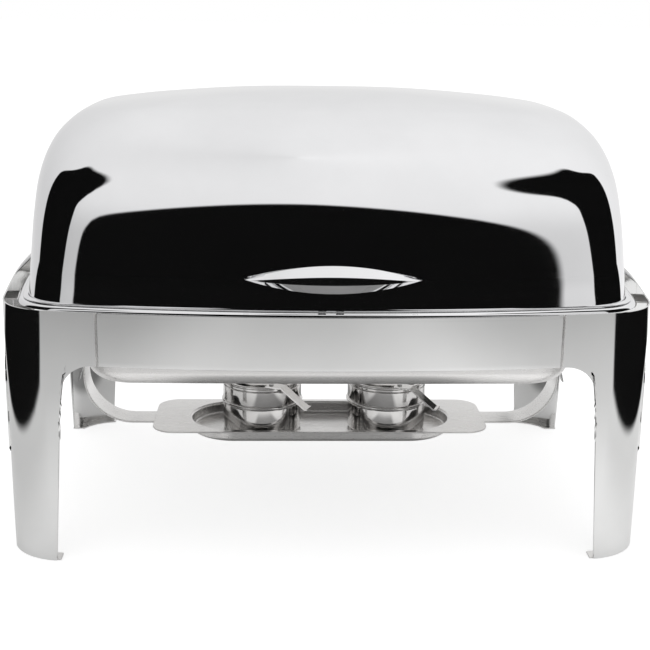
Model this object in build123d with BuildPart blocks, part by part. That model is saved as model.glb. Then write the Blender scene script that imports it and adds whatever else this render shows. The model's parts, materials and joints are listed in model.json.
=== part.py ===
from build123d import *
import math
import os

os.makedirs("parts", exist_ok=True)

# All sizes are in millimetres. X runs left to right, Y front to back, Z up from the table.

# Sheet thicknesses
frame_sheet = 1.5
pan_sheet = 1.2
lid_sheet = 1.2

# Bowed plan outlines: mid front reach, mid side reach, corner point and corner radius
frame_plan = (245.0, 332.0, 325.0, 211.0, 60.0)
rim_plan = (247.0, 324.0, 305.0, 216.8, 55.0)
pan_plan = (229.0, 257.0, 255.0, 225.5, 45.0)
pan_foot_plan = (229.0, 240.0, 238.0, 226.2, 45.0)

# Frame heights and seams
skirt_bottom = 208.0
skirt_top = 261.5
side_crest = 274.0
seam_x = 228.0
seam_gap = 2.2
side_seam_y = 120.0
leg_foot_x = 275.0
leg_knee_x = 263.2
leg_foot_y = 183.0
leg_knee_y = 171.0
arch_radius = 33.0
foot_flange = 14.0
foot_thick = 1.5
foot_tab = 4.0
hem_height = 3.0
hem_out = 1.2
hem_x = 221.0

# Water pan, its rim and the deck the food pan hangs in
pan_bottom = 187.4
pan_bend = 14.0
flange_z = 260.5
flange_inset = 6.0
rim_bottom = 262.0
rim_top = 266.2
rim_width = 14.0
rim_round = 1.9
deck_bottom = 262.2
deck_top = 263.7
deck_hole_x = 512.0
deck_hole_y = 307.0
deck_hole_r = 32.0

# Standard full-size food pan
food_rim_x = 530.0
food_rim_y = 325.0
food_rim_r = 40.0
food_rim_z = 264.0
food_rim_t = 1.2
food_top_x = 502.0
food_top_y = 297.0
food_depth = 40.0
food_taper = 6.0
food_r = 30.0
food_sheet = 1.0

# Lid: height, mid side reach, mid front reach, side bow, front bow, corner radius
lid_sections = (
    (268.0, 311.0, 240.0, 15.0, 27.0, 50.0),
    (305.0, 307.0, 237.2, 14.0, 26.0, 54.0),
    (347.0, 303.0, 224.5, 12.0, 24.0, 60.0),
    (381.0, 298.5, 204.0, 10.0, 21.0, 66.0),
    (408.0, 289.5, 178.0, 8.0, 17.5, 69.0),
    (428.0, 275.0, 149.5, 6.0, 14.0, 69.0),
    (443.0, 252.0, 118.5, 4.5, 11.0, 64.0),
    (450.2, 212.0, 97.8, 3.6, 9.0, 57.0),
    (454.5, 172.0, 81.7, 3.0, 7.5, 50.0),
    (458.2, 130.0, 63.3, 2.4, 6.0, 41.0),
    (460.7, 90.0, 45.5, 1.8, 4.5, 31.0),
    (462.3, 50.0, 26.6, 1.2, 3.0, 18.0),
)
lid_crown = 463.0
lid_flange_z = 266.5
lid_flange_plan = (243.8, 318.0, 299.5, 213.8, 53.0)
lid_foot_plan = (240.0, 311.0, 296.0, 213.0, 50.0)

# Lid handle
handle_z = 300.0
handle_half = 83.0
handle_rise = 13.5
handle_back = 249.5
handle_plate = 2.0
handle_front = 259.0
handle_ridge_half = 75.0
handle_ridge_rise = 4.0
handle_tip_r = 2.6
post_x = 9.0
post_r = 4.0
nut_r = 6.0
nut_depth = 5.0

# Rear hinge
hinge_x = 150.0
hinge_y = 254.0
hinge_z = 274.0
knuckle_r = 5.0
pin_r = 2.5
pin_play = 0.05
knuckle_half = 12.0
knuckle_gap = 0.3
knuckle_outer = 24.0
pin_head_r = 4.0
pin_head_t = 1.5
leaf_bottom = 228.0
leaf_plate = 241.0
leaf_front = 248.0
leaf_back = 252.0
leaf_web = 249.0
strap_top = 325.0
strap_sheet = 2.0
rivet_r = 3.0
rivet_out = 1.4

# Corner brackets that carry the pan flange
bracket_x = 289.0
bracket_y = 172.0
bracket_long = 38.0
bracket_wide = 24.0
bracket_thick = 1.6
bracket_z = 258.6

# Burner bar
bar_half = 18.7
bar_x = 275.0
bar_sheet = 2.0
bar_low = 77.2
bar_bend = 56.0
bar_top = 232.0
bar_inner = 168.0
hanger_z = 224.0
hanger_thick = 2.0
hanger_drop = 14.0
clip_thick = 1.4
clip_depth = 10.0

# Burner tray
tray_x = 385.0
tray_y = 120.0
tray_r = 25.0
tray_shift = -2.5
tray_bottom = 79.3
tray_sheet = 1.5
recess_x = 300.0
recess_y = 101.0
recess_depth = 15.0
recess_shift = -1.6

# Burners
burner_x = 73.0
burner_shift = 3.0
burner_r = 45.5
burner_sheet = 1.2
burner_floor = 67.6
burner_top = 126.0
burner_bend = 5.0
bead_z = 103.0
bead_r = 2.0
cap_r = 46.0
cap_thick = 2.4
cap_round = 0.9
vent_radius = 24.0
vent_span = 62.0
vent_width = 17.0
can_r = 38.0
can_top = 112.0
can_round = 1.5
hub_r = 4.0
damper_r = 39.0
damper_z = 128.8
damper_thick = 1.2
tab_angle = -70.0
tab_reach = 50.0
tab_width = 12.0
lever_width = 15.0
lever_thick = 1.4
lever_start = (15.0, -46.0, 130.2)
lever_end = (50.0, -60.0, 109.0)
lever_flat = 9.5
lever_lip = 4.0
lever_rivet_r = 2.6
lever_rivet_h = 1.2


def plan_sketch(height, plan, inset):
    """Closed bowed outline with rounded corners on a level plane."""
    front, side, corner_x, corner_y, radius = plan
    front = front - inset
    side = side - inset
    corner_x = corner_x - inset
    corner_y = corner_y - inset
    radius = radius - inset
    with BuildSketch(Plane.XY.offset(height)) as outline:
        with BuildLine():
            ThreePointArc((-corner_x, -corner_y), (0, -front), (corner_x, -corner_y))
            ThreePointArc((corner_x, -corner_y), (side, 0), (corner_x, corner_y))
            ThreePointArc((corner_x, corner_y), (0, front), (-corner_x, corner_y))
            ThreePointArc((-corner_x, corner_y), (-side, 0), (-corner_x, -corner_y))
        make_face()
        fillet(outline.vertices(), radius)
    return outline.sketch


def dome(grow):
    """Lofted dome of the lid, grown outward by a distance."""
    with BuildPart() as dome_part:
        for z, side, front, side_bow, front_bow, radius in lid_sections:
            plan = (front, side, side - side_bow, front - front_bow, radius)
            rise = grow * (z - lid_sections[0][0]) / (lid_crown - lid_sections[0][0])
            add(plan_sketch(z + rise, plan, -grow))
        loft()
    return dome_part.part


def pan_block(inset, bottom, top, bend):
    """Drafted block for the water pan's outside or inside, with a rounded bottom edge."""
    with BuildPart() as block:
        add(plan_sketch(bottom, pan_foot_plan, inset))
        add(plan_sketch(top, pan_plan, inset))
        loft()
        fillet(block.faces().sort_by(Axis.Z)[0].edges(), bend)
    return block.part


def food_block(inset, top, bottom):
    """Tapered block for the food pan's outside or inside."""
    with BuildPart() as block:
        with BuildSketch(Plane.XY.offset(top)):
            RectangleRounded(food_top_x - 2 * inset, food_top_y - 2 * inset, food_r - inset)
        with BuildSketch(Plane.XY.offset(bottom)):
            RectangleRounded(
                food_top_x - 2 * food_taper - 2 * inset,
                food_top_y - 2 * food_taper - 2 * inset,
                food_r - inset,
            )
        loft()
    return block.part


def save(built, label):
    """Name a piece and write it out."""
    built.part.label = label
    export_step(built.part, "parts/" + label + ".step")


def top_cutter():
    """Block above the raised top edge of the side panels."""
    with BuildPart() as cutter:
        with BuildSketch(Plane.YZ.offset(-400)):
            with BuildLine():
                Polyline((-190, skirt_top), (-300, skirt_top), (-300, 320), (300, 320), (300, skirt_top), (190, skirt_top))
                Spline(
                    (190, skirt_top),
                    (150, skirt_top + 4),
                    (100, side_crest - 3),
                    (0, side_crest),
                    (-100, side_crest - 3),
                    (-150, skirt_top + 4),
                    (-190, skirt_top),
                    tangents=((-1, 0), (-1, 0)),
                )
            make_face()
        extrude(amount=800)
    return cutter.part


top_block = top_cutter()
lid_outer = dome(0)
lid_inner = dome(-lid_sheet)

sides = (("left", -1), ("right", 1))
ends = (("front", -1), ("rear", 1))

# Four corner legs, each one sheet wrapped round a rounded corner
for end_name, sy in ends:
    for side_name, sx in sides:
        with BuildPart() as leg:
            add(plan_sketch(0, frame_plan, 0))
            extrude(amount=side_crest)
            add(plan_sketch(0, frame_plan, frame_sheet))
            extrude(amount=side_crest, mode=Mode.SUBTRACT)
            with BuildSketch(Plane.XY):
                with Locations((sx * (seam_x + 100), sy * (side_seam_y + 100))):
                    Rectangle(200, 200)
            extrude(amount=side_crest, mode=Mode.INTERSECT)
            add(top_block, mode=Mode.SUBTRACT)
            with BuildSketch(Plane.XZ.offset(100 if sy < 0 else -300)) as front_arch:
                Polygon(
                    (sx * leg_foot_x, -1),
                    (sx * leg_knee_x, skirt_bottom),
                    (sx * 150, skirt_bottom),
                    (sx * 150, -1),
                    align=None,
                )
                fillet(front_arch.vertices().sort_by_distance((sx * leg_knee_x, skirt_bottom, 0))[0], arch_radius)
            extrude(amount=200, mode=Mode.SUBTRACT)
            with BuildSketch(Plane.YZ.offset(-400 if sx < 0 else 280)) as side_arch:
                Polygon(
                    (sy * leg_foot_y, -1),
                    (sy * leg_knee_y, skirt_bottom),
                    (sy * 60, skirt_bottom),
                    (sy * 60, -1),
                    align=None,
                )
                fillet(side_arch.vertices().sort_by_distance((sy * leg_knee_y, skirt_bottom, 0))[0], arch_radius)
            extrude(amount=120, mode=Mode.SUBTRACT)
        save(leg, "leg_" + end_name + "_" + side_name)

        # Inward foot flange with short tabs past the leg's edges
        with BuildPart() as foot:
            add(plan_sketch(0, frame_plan, frame_sheet))
            extrude(amount=foot_thick)
            add(plan_sketch(0, frame_plan, foot_flange))
            extrude(amount=foot_thick, mode=Mode.SUBTRACT)
            with BuildSketch(Plane.XY):
                with Locations((sx * (leg_foot_x - foot_tab + 100), sy * (leg_foot_y - foot_tab + 100))):
                    Rectangle(200, 200)
            extrude(amount=foot_thick, mode=Mode.INTERSECT)
        save(foot, "foot_" + end_name + "_" + side_name)

# Side panels between the legs
for side_name, sx in sides:
    with BuildPart() as panel:
        add(plan_sketch(skirt_bottom, frame_plan, 0))
        extrude(amount=side_crest - skirt_bottom)
        add(plan_sketch(skirt_bottom, frame_plan, frame_sheet))
        extrude(amount=side_crest - skirt_bottom, mode=Mode.SUBTRACT)
        with BuildSketch(Plane.XY.offset(skirt_bottom)):
            with Locations((sx * 320, 0)):
                Rectangle(60, 2 * side_seam_y - 0.2)
        extrude(amount=side_crest - skirt_bottom, mode=Mode.INTERSECT)
        add(top_block, mode=Mode.SUBTRACT)
    save(panel, "side_panel_" + side_name)

# Front and rear aprons with a raised hem along the top
for end_name, sy in ends:
    with BuildPart() as apron:
        add(plan_sketch(skirt_bottom, frame_plan, 0))
        extrude(amount=skirt_top - skirt_bottom)
        add(plan_sketch(skirt_bottom, frame_plan, frame_sheet))
        extrude(amount=skirt_top - skirt_bottom, mode=Mode.SUBTRACT)
        with BuildSketch(Plane.XY.offset(skirt_bottom)):
            with Locations((0, sy * 250)):
                Rectangle(2 * seam_x - 2 * seam_gap, 100)
        extrude(amount=skirt_top - skirt_bottom, mode=Mode.INTERSECT)
    save(apron, "apron_" + end_name)

    with BuildPart() as hem:
        add(plan_sketch(skirt_top - hem_height, frame_plan, -hem_out))
        extrude(amount=hem_height)
        add(plan_sketch(skirt_top - hem_height, frame_plan, 0))
        extrude(amount=hem_height, mode=Mode.SUBTRACT)
        with BuildSketch(Plane.XY.offset(skirt_top - hem_height)):
            with Locations((0, sy * 250)):
                Rectangle(2 * hem_x, 100)
        extrude(amount=hem_height, mode=Mode.INTERSECT)
    save(hem, "apron_hem_" + end_name)

# Corner brackets under the pan flange
with BuildPart() as brackets:
    add(plan_sketch(bracket_z, frame_plan, frame_sheet))
    extrude(amount=bracket_thick)
    with BuildSketch(Plane.XY.offset(bracket_z)):
        for end_name, sy in ends:
            for side_name, sx in sides:
                with Locations(Location((sx * bracket_x, sy * bracket_y, 0), (0, 0, sx * sy * 45))):
                    Rectangle(bracket_long, bracket_wide)
    extrude(amount=bracket_thick, mode=Mode.INTERSECT)
save(brackets, "pan_brackets")

# Water pan: bowed and drafted wall, rounded bottom bend and a level flange
with BuildPart() as water_pan:
    add(pan_block(0, pan_bottom, flange_z + frame_sheet, pan_bend))
    add(plan_sketch(flange_z, rim_plan, flange_inset))
    extrude(amount=frame_sheet)
    add(pan_block(pan_sheet, pan_bottom + pan_sheet, rim_top, pan_bend - pan_sheet), mode=Mode.SUBTRACT)
save(water_pan, "water_pan")

# Rolled rim bead on the pan flange
with BuildPart() as pan_rim:
    add(plan_sketch(rim_bottom, rim_plan, 0))
    extrude(amount=rim_top - rim_bottom)
    fillet(pan_rim.faces().sort_by(Axis.Z)[0].edges(), rim_round)
    fillet(pan_rim.faces().sort_by(Axis.Z)[-1].edges(), rim_round)
    add(plan_sketch(rim_bottom, rim_plan, rim_width))
    extrude(amount=rim_top - rim_bottom, mode=Mode.SUBTRACT)
save(pan_rim, "pan_rim")

# Deck plate with the food pan opening
with BuildPart() as deck:
    add(plan_sketch(deck_bottom, rim_plan, rim_width + 0.3))
    extrude(amount=deck_top - deck_bottom)
    with BuildSketch(Plane.XY.offset(deck_bottom)):
        RectangleRounded(deck_hole_x, deck_hole_y, deck_hole_r)
    extrude(amount=deck_top - deck_bottom, mode=Mode.SUBTRACT)
save(deck, "deck")

# Food pan
with BuildPart() as food_pan:
    with BuildSketch(Plane.XY.offset(food_rim_z)):
        RectangleRounded(food_rim_x, food_rim_y, food_rim_r)
    extrude(amount=food_rim_t)
    add(food_block(0, food_rim_z, food_rim_z - food_depth))
    add(
        food_block(food_sheet, food_rim_z + food_rim_t, food_rim_z - food_depth + food_sheet),
        mode=Mode.SUBTRACT,
    )
save(food_pan, "food_pan")

# Lid shell
with BuildPart() as lid_shell:
    add(lid_outer)
    add(lid_inner, mode=Mode.SUBTRACT)
save(lid_shell, "lid_shell")

# Level flange round the foot of the lid
with BuildPart() as lid_flange:
    add(plan_sketch(lid_flange_z, lid_flange_plan, 0))
    extrude(amount=lid_sections[0][0] - lid_flange_z)
    add(plan_sketch(lid_flange_z, lid_foot_plan, lid_sheet))
    extrude(amount=lid_sections[0][0] - lid_flange_z, mode=Mode.SUBTRACT)
save(lid_flange, "lid_flange")

# Boat-shaped handle
with BuildPart() as handle:
    with BuildSketch(Plane.XZ.offset(handle_back)):
        with BuildLine():
            ThreePointArc((-handle_half, handle_z), (0, handle_z + handle_rise), (handle_half, handle_z))
            ThreePointArc((handle_half, handle_z), (0, handle_z - handle_rise), (-handle_half, handle_z))
        make_face()
    extrude(amount=handle_plate)
    with BuildSketch(Plane.XZ.offset(handle_back + handle_plate)):
        with BuildLine():
            ThreePointArc((-handle_half, handle_z), (0, handle_z + handle_rise), (handle_half, handle_z))
            ThreePointArc((handle_half, handle_z), (0, handle_z - handle_rise), (-handle_half, handle_z))
        make_face()
    with BuildSketch(Plane.XZ.offset(handle_front)):
        with BuildLine():
            ThreePointArc(
                (-handle_ridge_half, handle_z), (0, handle_z + handle_ridge_rise), (handle_ridge_half, handle_z)
            )
            ThreePointArc(
                (handle_ridge_half, handle_z), (0, handle_z - handle_ridge_rise), (-handle_ridge_half, handle_z)
            )
        make_face()
    loft()
save(handle, "lid_handle")

with BuildPart() as handle_tips:
    with BuildSketch(Plane.XZ.offset(handle_back)):
        with Locations((-handle_half - handle_tip_r, handle_z), (handle_half + handle_tip_r, handle_z)):
            Circle(handle_tip_r)
    extrude(amount=2 * handle_plate)
save(handle_tips, "handle_tips")

with BuildPart() as handle_posts:
    with BuildSketch(Plane.XZ.offset(225)):
        with Locations((-post_x, handle_z), (post_x, handle_z)):
            Circle(post_r)
    extrude(amount=handle_back - 225)
    add(lid_outer, mode=Mode.SUBTRACT)
save(handle_posts, "handle_posts")

with BuildPart() as handle_nuts:
    with BuildSketch(Plane.XZ.offset(225)):
        with Locations((-post_x, handle_z), (post_x, handle_z)):
            RegularPolygon(nut_r, 6)
    extrude(amount=20)
    add(lid_inner, mode=Mode.INTERSECT)
    with BuildSketch(Plane.XZ.offset(200)):
        Rectangle(400, 900)
    extrude(amount=236 - nut_depth - 200, mode=Mode.SUBTRACT)
save(handle_nuts, "handle_nuts")

# Rear hinges
with BuildPart() as hinge_brackets:
    for side_name, sx in sides:
        with BuildSketch(Plane.YZ.offset(sx * hinge_x - knuckle_half)):
            Polygon(
                (225, leaf_bottom),
                (leaf_plate, leaf_bottom),
                (leaf_plate, leaf_web),
                (leaf_back, leaf_web),
                (leaf_back, hinge_z),
                (leaf_front, hinge_z),
                (leaf_front, skirt_top - hem_height - 0.3),
                (225, skirt_top - hem_height - 0.3),
                align=None,
            )
        extrude(amount=2 * knuckle_half)
        with BuildSketch(Plane.YZ.offset(sx * hinge_x - knuckle_half)):
            with Locations((hinge_y, hinge_z)):
                Circle(knuckle_r)
        extrude(amount=2 * knuckle_half)
    add(plan_sketch(leaf_bottom - 1, frame_plan, 0))
    extrude(amount=skirt_top - hem_height - leaf_bottom + 1, mode=Mode.SUBTRACT)
    with BuildSketch(Plane.YZ.offset(-200)):
        with Locations((hinge_y, hinge_z)):
            Circle(pin_r + pin_play)
    extrude(amount=400, mode=Mode.SUBTRACT)
save(hinge_brackets, "hinge_brackets")

with BuildPart() as strap_leaf:
    add(dome(strap_sheet))
    with BuildSketch(Plane.XY.offset(hinge_z - knuckle_r)):
        with Locations((-hinge_x, 230), (hinge_x, 230)):
            Rectangle(2 * knuckle_outer, 60)
    extrude(amount=strap_top - hinge_z + knuckle_r, mode=Mode.INTERSECT)

with BuildPart() as hinge_straps:
    for side_name, sx in sides:
        for turn in (-1, 1):
            start = sx * hinge_x + turn * (knuckle_half + knuckle_outer) / 2 + turn * knuckle_gap / 2
            width = knuckle_outer - knuckle_half - knuckle_gap
            with BuildSketch(Plane.YZ.offset(start - width / 2)):
                with Locations((hinge_y, hinge_z)):
                    Circle(knuckle_r)
                Polygon(
                    (hinge_y, hinge_z - knuckle_r),
                    (hinge_y, hinge_z + 1),
                    (215, hinge_z + knuckle_r),
                    (215, hinge_z - knuckle_r),
                    align=None,
                )
            extrude(amount=width)
    add(strap_leaf.part)
    add(lid_outer, mode=Mode.SUBTRACT)
    with BuildSketch(Plane.YZ.offset(-200)):
        with Locations((hinge_y, hinge_z)):
            Circle(pin_r)
    extrude(amount=400, mode=Mode.SUBTRACT)
save(hinge_straps, "hinge_straps")

with BuildPart() as hinge_pins:
    for side_name, sx in sides:
        with BuildSketch(Plane.YZ.offset(sx * hinge_x - knuckle_outer)):
            with Locations((hinge_y, hinge_z)):
                Circle(pin_r)
        extrude(amount=2 * knuckle_outer)
        for turn in (-1, 1):
            edge = sx * hinge_x + turn * (knuckle_outer + pin_head_t / 2) - pin_head_t / 2
            with BuildSketch(Plane.YZ.offset(edge)):
                with Locations((hinge_y, hinge_z)):
                    Circle(pin_head_r)
            extrude(amount=pin_head_t)
save(hinge_pins, "hinge_pins")

with BuildPart() as hinge_rivets:
    for side_name, sx in sides:
        for drop in (6, 15):
            with BuildSketch(Plane.XZ.offset(-leaf_plate - rivet_out)):
                with Locations((sx * hinge_x, leaf_bottom + drop)):
                    Circle(rivet_r)
            extrude(amount=rivet_out)
save(hinge_rivets, "hinge_rivets")

# Burner arms: two flat strips bent down and in under the ends of the tray
for side_name, sx in sides:
    with BuildPart() as arm:
        with BuildSketch(Plane.XZ.offset(-bar_half)) as arm_section:
            Polygon(
                (sx * bar_x, bar_top),
                (sx * bar_x, bar_low),
                (sx * bar_inner, bar_low),
                (sx * bar_inner, bar_low + bar_sheet),
                (sx * (bar_x - bar_sheet), bar_low + bar_sheet),
                (sx * (bar_x - bar_sheet), bar_top),
                align=None,
            )
            corners = arm_section.vertices()
            fillet(corners.sort_by_distance((sx * bar_x, bar_low, 0))[0], bar_bend)
            corners = arm_section.vertices()
            inner_corner = (sx * (bar_x - bar_sheet), bar_low + bar_sheet, 0)
            fillet(corners.sort_by_distance(inner_corner)[0], bar_bend - bar_sheet)
        extrude(amount=2 * bar_half)
    save(arm, "burner_arm_" + side_name)

# Hangers that join the bar to the side panels
with BuildPart() as bar_hangers:
    for side_name, sx in sides:
        with BuildSketch(Plane.XZ.offset(-bar_half)):
            Polygon(
                (sx * bar_x, hanger_z),
                (sx * 345, hanger_z),
                (sx * 345, hanger_z + hanger_drop),
                (sx * 326, hanger_z + hanger_drop),
                (sx * 326, hanger_z + hanger_thick),
                (sx * bar_x, hanger_z + hanger_thick),
                align=None,
            )
        extrude(amount=2 * bar_half)
    add(plan_sketch(hanger_z, frame_plan, frame_sheet))
    extrude(amount=hanger_drop, mode=Mode.INTERSECT)
save(bar_hangers, "bar_hangers")

with BuildPart() as bar_clips:
    for side_name, sx in sides:
        with BuildSketch(Plane.XZ.offset(bar_half - clip_depth)):
            Polygon(
                (sx * bar_x, 149),
                (sx * bar_x, 145),
                (sx * (bar_x + 5.2), 128),
                (sx * (bar_x + 5.2 + clip_thick), 128.4),
                (sx * (bar_x + clip_thick), 149),
                align=None,
            )
        extrude(amount=clip_depth)
save(bar_clips, "bar_clips")

# Burner tray with a long recess
with BuildPart() as burner_tray:
    with BuildSketch(Plane.XY.offset(tray_bottom)):
        with Locations((tray_shift, 0)):
            RectangleRounded(tray_x, tray_y, tray_r)
    extrude(amount=tray_sheet)
    with BuildSketch(Plane.XY.offset(tray_bottom + tray_sheet - recess_depth)):
        with Locations((recess_shift, 0)):
            SlotOverall(recess_x, recess_y)
    extrude(amount=recess_depth)
    with BuildSketch(Plane.XY.offset(tray_bottom + 2 * tray_sheet - recess_depth)):
        with Locations((recess_shift, 0)):
            SlotOverall(recess_x - 2 * tray_sheet, recess_y - 2 * tray_sheet)
    extrude(amount=recess_depth, mode=Mode.SUBTRACT)
save(burner_tray, "burner_tray")

# Burners: cup, bead, vented cap, fuel can, damper and lever
for side_name, sx in sides:
    bx = sx * burner_x + burner_shift
    with BuildPart() as cup:
        with BuildSketch(Plane.XY.offset(burner_floor)):
            with Locations((bx, 0)):
                Circle(burner_r)
        extrude(amount=burner_top - burner_floor)
        fillet(cup.faces().sort_by(Axis.Z)[0].edges(), burner_bend)
        with BuildSketch(Plane.XY.offset(burner_floor + burner_sheet)):
            with Locations((bx, 0)):
                Circle(burner_r - burner_sheet)
        extrude(amount=burner_top - burner_floor, mode=Mode.SUBTRACT)
    save(cup, "burner_cup_" + side_name)

    with BuildPart() as bead:
        with BuildSketch(Plane.XZ):
            with Locations((burner_r, bead_z)):
                Circle(bead_r)
        revolve(axis=Axis.Z)
        with BuildSketch(Plane.XY.offset(bead_z - 2 * bead_r)):
            Circle(burner_r)
        extrude(amount=4 * bead_r, mode=Mode.SUBTRACT)
    bead.part.position = (bx, 0, 0)
    save(bead, "burner_bead_" + side_name)

    with BuildPart() as cap:
        with BuildSketch(Plane.XY.offset(burner_top)):
            Circle(cap_r)
        extrude(amount=cap_thick)
        fillet(cap.edges(), cap_round)
        with BuildSketch(Plane.XY.offset(burner_top)):
            for start in (-vent_span / 2, 180 - vent_span / 2):
                SlotArc(CenterArc((0, 0), vent_radius, start, vent_span), vent_width)
        extrude(amount=cap_thick, mode=Mode.SUBTRACT)
    cap.part.position = (bx, 0, 0)
    save(cap, "burner_cap_" + side_name)

    with BuildPart() as can:
        with BuildSketch(Plane.XY.offset(burner_floor + burner_sheet)):
            Circle(can_r)
        extrude(amount=can_top - burner_floor - burner_sheet)
        fillet(can.faces().sort_by(Axis.Z)[-1].edges(), can_round)
    can.part.position = (bx, 0, 0)
    save(can, "fuel_can_" + side_name)

    with BuildPart() as hub:
        with BuildSketch(Plane.XY.offset(burner_top + cap_thick)):
            Circle(hub_r)
        extrude(amount=damper_z + damper_thick + 0.4 - burner_top - cap_thick)
        with BuildSketch(Plane.XY.offset(damper_z + damper_thick + 0.4)):
            Circle(hub_r + 2)
        extrude(amount=1.2)
    hub.part.position = (bx, 0, 0)
    save(hub, "damper_hub_" + side_name)

    with BuildPart() as damper:
        with BuildSketch(Plane.XY.offset(damper_z)):
            Circle(damper_r)
            with Locations(Location((0, 0, 0), (0, 0, tab_angle))):
                with Locations((tab_reach / 2, 0)):
                    SlotOverall(tab_reach + tab_width, tab_width)
        extrude(amount=damper_thick)
        with BuildSketch(Plane.XY.offset(damper_z)):
            Circle(hub_r + pin_play)
            for start in (-vent_span / 2, 180 - vent_span / 2):
                SlotArc(CenterArc((0, 0), vent_radius, start, vent_span), vent_width)
        extrude(amount=damper_thick, mode=Mode.SUBTRACT)
    damper.part.position = (bx, 0, 0)
    save(damper, "damper_" + side_name)

    run_x = lever_end[0] - lever_start[0]
    run_y = lever_end[1] - lever_start[1]
    lever_run = math.hypot(run_x, run_y)
    lever_drop = lever_start[2] - lever_end[2]
    lever_plane = Plane(
        origin=(lever_start[0], lever_start[1], 0),
        x_dir=(run_x, run_y, 0),
        z_dir=(run_y, -run_x, 0),
    )
    with BuildPart() as lever:
        with BuildSketch(lever_plane.offset(-lever_width / 2)):
            Polygon(
                (-9, lever_start[2]),
                (lever_flat, lever_start[2]),
                (lever_run, lever_start[2] - lever_drop),
                (lever_run + lever_lip, lever_start[2] - lever_drop),
                (lever_run + lever_lip, lever_start[2] - lever_drop + lever_thick),
                (lever_run + 0.6, lever_start[2] - lever_drop + lever_thick),
                (lever_flat + 0.6, lever_start[2] + lever_thick),
                (-9, lever_start[2] + lever_thick),
                align=None,
            )
        extrude(amount=lever_width)
    lever.part.position = (bx, 0, 0)
    save(lever, "lever_" + side_name)

    with BuildPart() as lever_rivets:
        with BuildSketch(Plane.XY.offset(lever_start[2] + lever_thick)):
            with Locations((lever_start[0] - 4, lever_start[1] + 1.6)):
                Circle(lever_rivet_r)
        extrude(amount=lever_rivet_h)
    lever_rivets.part.position = (bx, 0, 0)
    save(lever_rivets, "lever_rivet_" + side_name)
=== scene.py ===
import json
import math

import bmesh
import bpy
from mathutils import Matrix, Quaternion, Vector


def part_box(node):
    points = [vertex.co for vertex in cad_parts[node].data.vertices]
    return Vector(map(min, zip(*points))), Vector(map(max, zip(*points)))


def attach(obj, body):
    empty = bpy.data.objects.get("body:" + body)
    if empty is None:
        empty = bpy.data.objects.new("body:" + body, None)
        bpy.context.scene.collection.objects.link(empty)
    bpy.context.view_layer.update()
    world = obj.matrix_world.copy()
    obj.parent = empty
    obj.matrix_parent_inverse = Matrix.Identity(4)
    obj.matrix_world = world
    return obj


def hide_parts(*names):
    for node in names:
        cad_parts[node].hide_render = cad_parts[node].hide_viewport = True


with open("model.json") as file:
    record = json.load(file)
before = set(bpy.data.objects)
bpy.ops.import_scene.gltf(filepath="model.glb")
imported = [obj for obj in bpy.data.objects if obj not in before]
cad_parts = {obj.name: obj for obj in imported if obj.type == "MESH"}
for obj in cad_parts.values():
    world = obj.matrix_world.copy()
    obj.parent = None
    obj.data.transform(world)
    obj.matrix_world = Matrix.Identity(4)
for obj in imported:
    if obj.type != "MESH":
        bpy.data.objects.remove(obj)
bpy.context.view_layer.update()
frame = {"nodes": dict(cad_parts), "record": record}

# Bowed plan outlines, in metres: mid front reach, mid side reach, corner point and corner radius
FRAME_PLAN = (0.245, 0.332, 0.325, 0.211, 0.060)
RIM_PLAN = (0.247, 0.324, 0.305, 0.2168, 0.055)
PAN_PLAN = (0.229, 0.257, 0.255, 0.2255, 0.045)
PAN_FOOT_PLAN = (0.229, 0.240, 0.238, 0.2262, 0.045)
LID_FLANGE_PLAN = (0.2438, 0.318, 0.2995, 0.2138, 0.053)
LID_FOOT_PLAN = (0.240, 0.311, 0.296, 0.213, 0.050)

# Lid sections: height, mid side reach, mid front reach, side bow, front bow, corner radius
LID_SECTIONS = (
    (0.2680, 0.3110, 0.2400, 0.0150, 0.0270, 0.050),
    (0.3050, 0.3070, 0.2372, 0.0140, 0.0260, 0.054),
    (0.3470, 0.3030, 0.2245, 0.0120, 0.0240, 0.060),
    (0.3810, 0.2985, 0.2040, 0.0100, 0.0210, 0.066),
    (0.4080, 0.2895, 0.1780, 0.0080, 0.0175, 0.069),
    (0.4280, 0.2750, 0.1495, 0.0060, 0.0140, 0.069),
    (0.4430, 0.2520, 0.1185, 0.0045, 0.0110, 0.064),
    (0.4502, 0.2120, 0.0978, 0.0036, 0.0090, 0.057),
    (0.4545, 0.1720, 0.0817, 0.0030, 0.0075, 0.050),
    (0.4582, 0.1300, 0.0633, 0.0024, 0.0060, 0.041),
    (0.4607, 0.0900, 0.0455, 0.0018, 0.0045, 0.031),
    (0.4622, 0.0500, 0.0266, 0.0012, 0.0030, 0.018),
)
LID_CROWN = 0.4627
LID_SHEET = 0.0012
FRAME_SHEET = 0.0015
PAN_SHEET = 0.0012

SIDES = (("left", -1), ("right", 1))
ENDS = (("front", -1), ("rear", 1))

# Frame heights and edges, as the CAD frame has them
SKIRT_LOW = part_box("apron_front")[0].z
SKIRT_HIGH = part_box("apron_front")[1].z
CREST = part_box("side_panel_left")[1].z
SEAM_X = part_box("leg_front_right")[0].x
APRON_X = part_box("apron_front")[1].x
SEAM_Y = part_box("side_panel_left")[1].y
LEG_FOOT_X = 0.275
LEG_KNEE_X = 0.2632
LEG_FOOT_Y = 0.183
LEG_KNEE_Y = 0.171
ARCH_RADIUS = 0.033
SIDE_SEAM_GAP = 0.0002
CREST_START_Y = 0.190


# ---------------------------------------------------------------- outlines

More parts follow.
